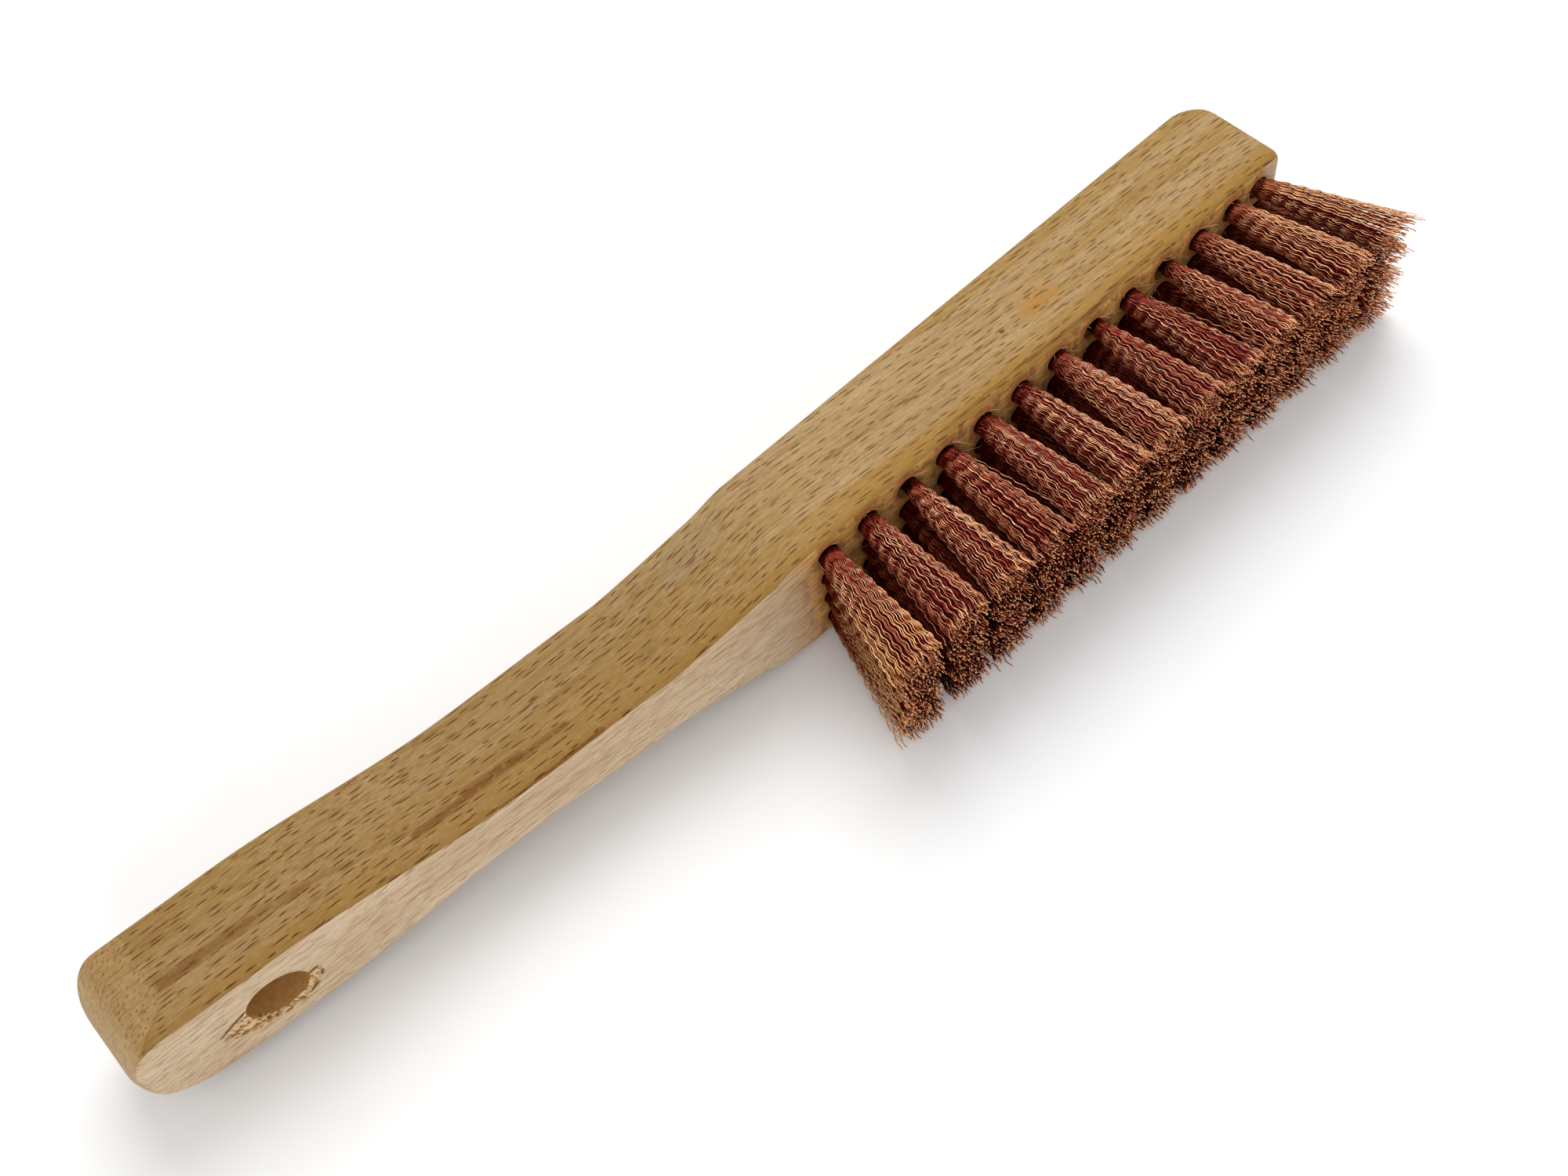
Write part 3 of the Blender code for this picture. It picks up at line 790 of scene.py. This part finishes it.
def add_tuft(column, row, finish):
    rng = np.random.default_rng(1000 + 100 * row + column)
    n = SHELL_WIRES + INNER_WIRES
    outer = np.arange(n) < SHELL_WIRES
    k = np.arange(n) - SHELL_WIRES + 0.5
    inner_spread = 0.90 * np.sqrt(np.clip(k, 0, None) / INNER_WIRES)
    spread = np.where(outer, rng.uniform(0.955, 1.0, n), inner_spread)
    even = 2 * np.pi * (np.arange(n) + rng.normal(0, 0.16, n)) / SHELL_WIRES
    angle = np.where(outer, even, k * GOLDEN_ANGLE) + rng.uniform(0, RANDOM_TURN)
    u = spread * np.cos(angle)
    w = spread * np.sin(angle)
    base = root(column, row)
    lx, lz = lean(column, row)
    tip_x = TIP_HALF_X + END_COLUMN_EXTRA * abs(2 * column / (COLUMNS - 1) - 1) ** 4
    tip_z = TIP_HALF_Z
    end_side = {0: -1.0, COLUMNS - 1: 1.0}.get(column, 0.0)
    # most bundles sit near the middle of their holes, the loose ones against one side
    side = np.array((rng.uniform(-0.12, 0.08), rng.uniform(-0.02, 0.10)))
    tight = rng.uniform(2.00, 2.12)
    if (column, row) in LOOSE:
        side, tight = np.array((0.75, 0.15)), 1.5

    rings_out = int(round(BRISTLE / WAVE_LENGTH * STEPS_PER_WAVE)) + 1
    length = BRISTLE - 0.15 + rng.normal(0, 0.55, n)
    short = rng.random(n)
    length = np.where(short < 0.12, length - rng.uniform(0.8, 3.2, n), length)
    length = np.where(short > 0.95, length + rng.uniform(0.4, 1.5, n), length)
    s = np.linspace(0, 1, rings_out)
    out = s[None, :] * length[:, None]
    fan = s[None, :] ** 0.9
    splay = 1 + rng.normal(0, 0.045, n)
    stray = rng.random(n) < 0.03
    stray |= outer & (end_side * u > 0.9) & (rng.random(n) < 0.25)
    splay = np.where(stray, rng.uniform(1.12, 1.45, n), splay)
    centre_x = side[0] + (lx - side[0]) * fan
    centre_z = side[1] + (lz - side[1]) * fan
    half_x = tight + (tip_x - tight) * fan
    half_z = tight + (tip_z - tight) * fan
    loose = np.where(outer, 0.07, 0.16)
    jitter = rng.normal(0, 1, (n, 2)) * loose[:, None]
    reach = 1 + (splay[:, None] - 1) * fan
    x = centre_x + u[:, None] * half_x * reach + jitter[:, :1] * fan
    z = centre_z + w[:, None] * half_z * reach + jitter[:, 1:] * fan
    x = x + loose[:, None] * smooth_random(rng, n, rings_out, 5)
    z = z + loose[:, None] * smooth_random(rng, n, rings_out, 5)

    # the crimp
    turn = rng.uniform(-0.4, 0.4) + rng.normal(0, 0.10, n)
    lag = [rng.uniform(0.2, 0.8) * np.sin(m * angle + rng.uniform(0, RANDOM_TURN)) for m in (1, 2, 3)]
    start = rng.uniform(0, RANDOM_TURN) + sum(lag) + rng.normal(0, 1, n) * np.where(outer, 0.38, 0.7)
    start = start + np.where(stray | (rng.random(n) < 0.14), rng.uniform(0, RANDOM_TURN, n), 0.0)
    wave = WAVE_LENGTH * (1 + rng.normal(0, 0.004, n))
    high = WAVE_HEIGHT * rng.uniform(0.88, 1.12, n)
    phase = 2 * np.pi * out / wave[:, None] + start[:, None]
    bend = np.sin(phase) + 0.13 * np.sin(3 * phase)
    bend = bend * high[:, None] * (0.55 + 0.45 * np.clip(out / 3.0, 0, 1))
    x = x + bend * np.cos(turn)[:, None]
    z = z + bend * np.sin(turn)[:, None]

    # inside the hole, down to the anchor
    depth = np.array(WIRE_DEPTHS)
    d = np.array((lx, lz)) / BRISTLE
    gather = (depth / WIRE_DEPTHS[0]) ** 1.2
    inside_x = x[:, :1] + (0.55 * u[:, None] * tight - x[:, :1]) * gather + d[0] * depth
    inside_z = z[:, :1] + (0.55 * w[:, None] * tight - z[:, :1]) * gather + d[1] * depth
    x = np.concatenate((inside_x, x), axis=1)
    z = np.concatenate((inside_z, z), axis=1)
    out = np.concatenate((np.broadcast_to(depth, (n, len(depth))), out), axis=1)

    paths = np.stack((base[0] + x, base[1] - out, base[2] + z), axis=2)
    paths[:, :, 2] = np.maximum(paths[:, :, 2], LOWEST_WIRE)
    radii = np.full(paths.shape[:2], WIRE_RADIUS)
    share = np.clip(out / BRISTLE, 0, 1)
    along = share**0.9
    middle_x = base[0] + side[0] + (lx - side[0]) * along
    middle_z = base[2] + side[1] + (lz - side[1]) * along
    centre = np.stack((middle_x, middle_z), axis=2)
    half = np.stack((tight + (tip_x - tight) * along, tight + (tip_z - tight) * along), axis=2)
    half = half + WIRE_RADIUS
    gold = np.full_like(share, 0.13 * max(0, column - 8))
    if column == 0:
        gold = np.clip((share - 0.30) / 0.5, 0, 1)
    name = f"wire_tuft_row{row + 1}_column{column + 1:02d}"
    extra = {"along": share, "gold": gold}
    made = tube_mesh(name, paths, radii, rng.random(n), extra, finish, (centre, half, end_side))
    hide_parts(f"tuft_row{row + 1}_column{column + 1:02d}")
    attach(made, "root")


def add_anchors(finish):
    """The short wire across the bottom of each hole that the tuft is folded round."""
    rods = []
    for row in range(ROWS):
        for column in range(COLUMNS):
            lx, lz = lean(column, row)
            base = root(column, row) - np.array((lx, -BRISTLE, lz)) / BRISTLE * (HOLE_DEPTH - ANCHOR_LIFT)
            reach = np.array((0, 0, ANCHOR_HALF))
            rods.append((base - reach, base + reach, ANCHOR_RADIUS, 12))
    made = rods_mesh("anchor_wires", rods, finish)
    made.data.set_sharp_from_angle(angle=SHARP_ANGLE)
    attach(made, "root")


def add_hole_fibres(finish):
    """Short splinters and fuzz that the drill left round the holes."""
    rng = np.random.default_rng(77)
    paths, radii = [], []
    for row in range(ROWS):
        for column in range(COLUMNS):
            base = root(column, row)
            for _ in range(6 if row == 0 else 4):
                if rng.random() < 0.75:
                    turn = math.radians(rng.normal(62, 48))
                else:
                    turn = rng.uniform(0, RANDOM_TURN)
                rim = np.array((math.cos(turn), 0.0, math.sin(turn)))
                reach = rng.uniform(0.6, 1.5) if rng.random() < 0.65 else rng.uniform(1.5, 3.0)
                lean_out = rng.uniform(0.8, 2.4)
                sway = rng.normal(0, 0.5)
                side = np.array((-rim[2], 0.0, rim[0]))
                start = base + rim * (HOLE_RADIUS + rng.uniform(-0.05, 0.35)) + np.array((0, 0.12, 0))
                s = np.linspace(0, 1, FIBRE_RINGS)[:, None]
                outward = rim * lean_out * 0.6 + np.array((0, -1.0, 0))
                curl = rng.normal(0.2, 0.4)
                paths.append(start + reach * (s * outward + s**2 * side * sway + s**2 * rim * curl))
                radii.append(rng.uniform(0.05, 0.10) * (1.05 - s[:, 0] ** 1.5))
    paths, radii = np.array(paths), np.array(radii)
    made = tube_mesh("hole_fibres", paths, radii, rng.random(len(paths)), {}, finish)
    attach(made, "root")


# ---------------------------------------------------------------- stage


# Metres from here on
FLOOR_HALF, FLOOR_CELLS, FLOOR_Z = 1.6, 8, -0.0002
WORLD_STRENGTH = 0.72
LIGHTS = (  # name, place, size, watts
    ("key", (0.42, 0.52, 1.00), 0.9, 8.0),
    ("fill", (-0.40, -1.00, 0.60), 0.7, 2.6),
)
LIT_POINT = (-0.05, -0.01, 0.02)
CAMERA_PLACE = (-0.1519, -0.1450, 0.2928)
CAMERA_BACK, CAMERA_RIGHT = (-0.2665, -0.4327, 0.8612), (0.7332, -0.6710, -0.1103)


def add_stage():
    n = FLOOR_CELLS
    steps = [(i / n - 0.5) * 2 * FLOOR_HALF for i in range(n + 1)]
    verts = [(x, y, FLOOR_Z) for y in steps for x in steps]
    faces = []
    for j in range(n):
        for i in range(n):
            a = j * (n + 1) + i
            faces.append((a, a + 1, a + n + 2, a + n + 1))
    floor = new_object("floor", verts, faces, paper())

    world = bpy.data.worlds.new("studio")
    world.use_nodes = True
    world.node_tree.nodes["Background"].inputs["Color"].default_value = (1.0, 1.0, 1.0, 1.0)
    world.node_tree.nodes["Background"].inputs["Strength"].default_value = WORLD_STRENGTH
    SCENE.world = world

    for name, place, size, power in LIGHTS:
        light = bpy.data.lights.new(name, "AREA")
        light.shape, light.size, light.energy = "DISK", size, power
        lamp = bpy.data.objects.new(name, light)
        lamp.location = place
        aim = Vector(LIT_POINT) - Vector(place)
        lamp.rotation_euler = aim.to_track_quat("-Z", "Y").to_euler()
        SCENE.collection.objects.link(lamp)


def add_camera():
    data = bpy.data.cameras.new("camera")
    data.sensor_width, data.lens = 36.0, 39.6
    data.clip_start, data.clip_end = 0.01, 20.0
    camera = bpy.data.objects.new("camera", data)
    back = Vector(CAMERA_BACK).normalized()
    right = Vector(CAMERA_RIGHT)
    right = (right - right.dot(back) * back).normalized()
    up = back.cross(right)
    turn = Matrix((right, up, back)).transposed().to_4x4()
    camera.matrix_world = Matrix.Translation(CAMERA_PLACE) @ turn
    SCENE.collection.objects.link(camera)
    SCENE.camera = camera


SCENE.view_settings.view_transform = "Standard"
add_camera()
add_stage()
add_wood(beech())
copper_finish = copper()
for tuft_row in range(ROWS):
    for tuft_column in range(COLUMNS):
        add_tuft(tuft_column, tuft_row, copper_finish)
add_anchors(plain_wire())
add_hole_fibres(pale_fibre())
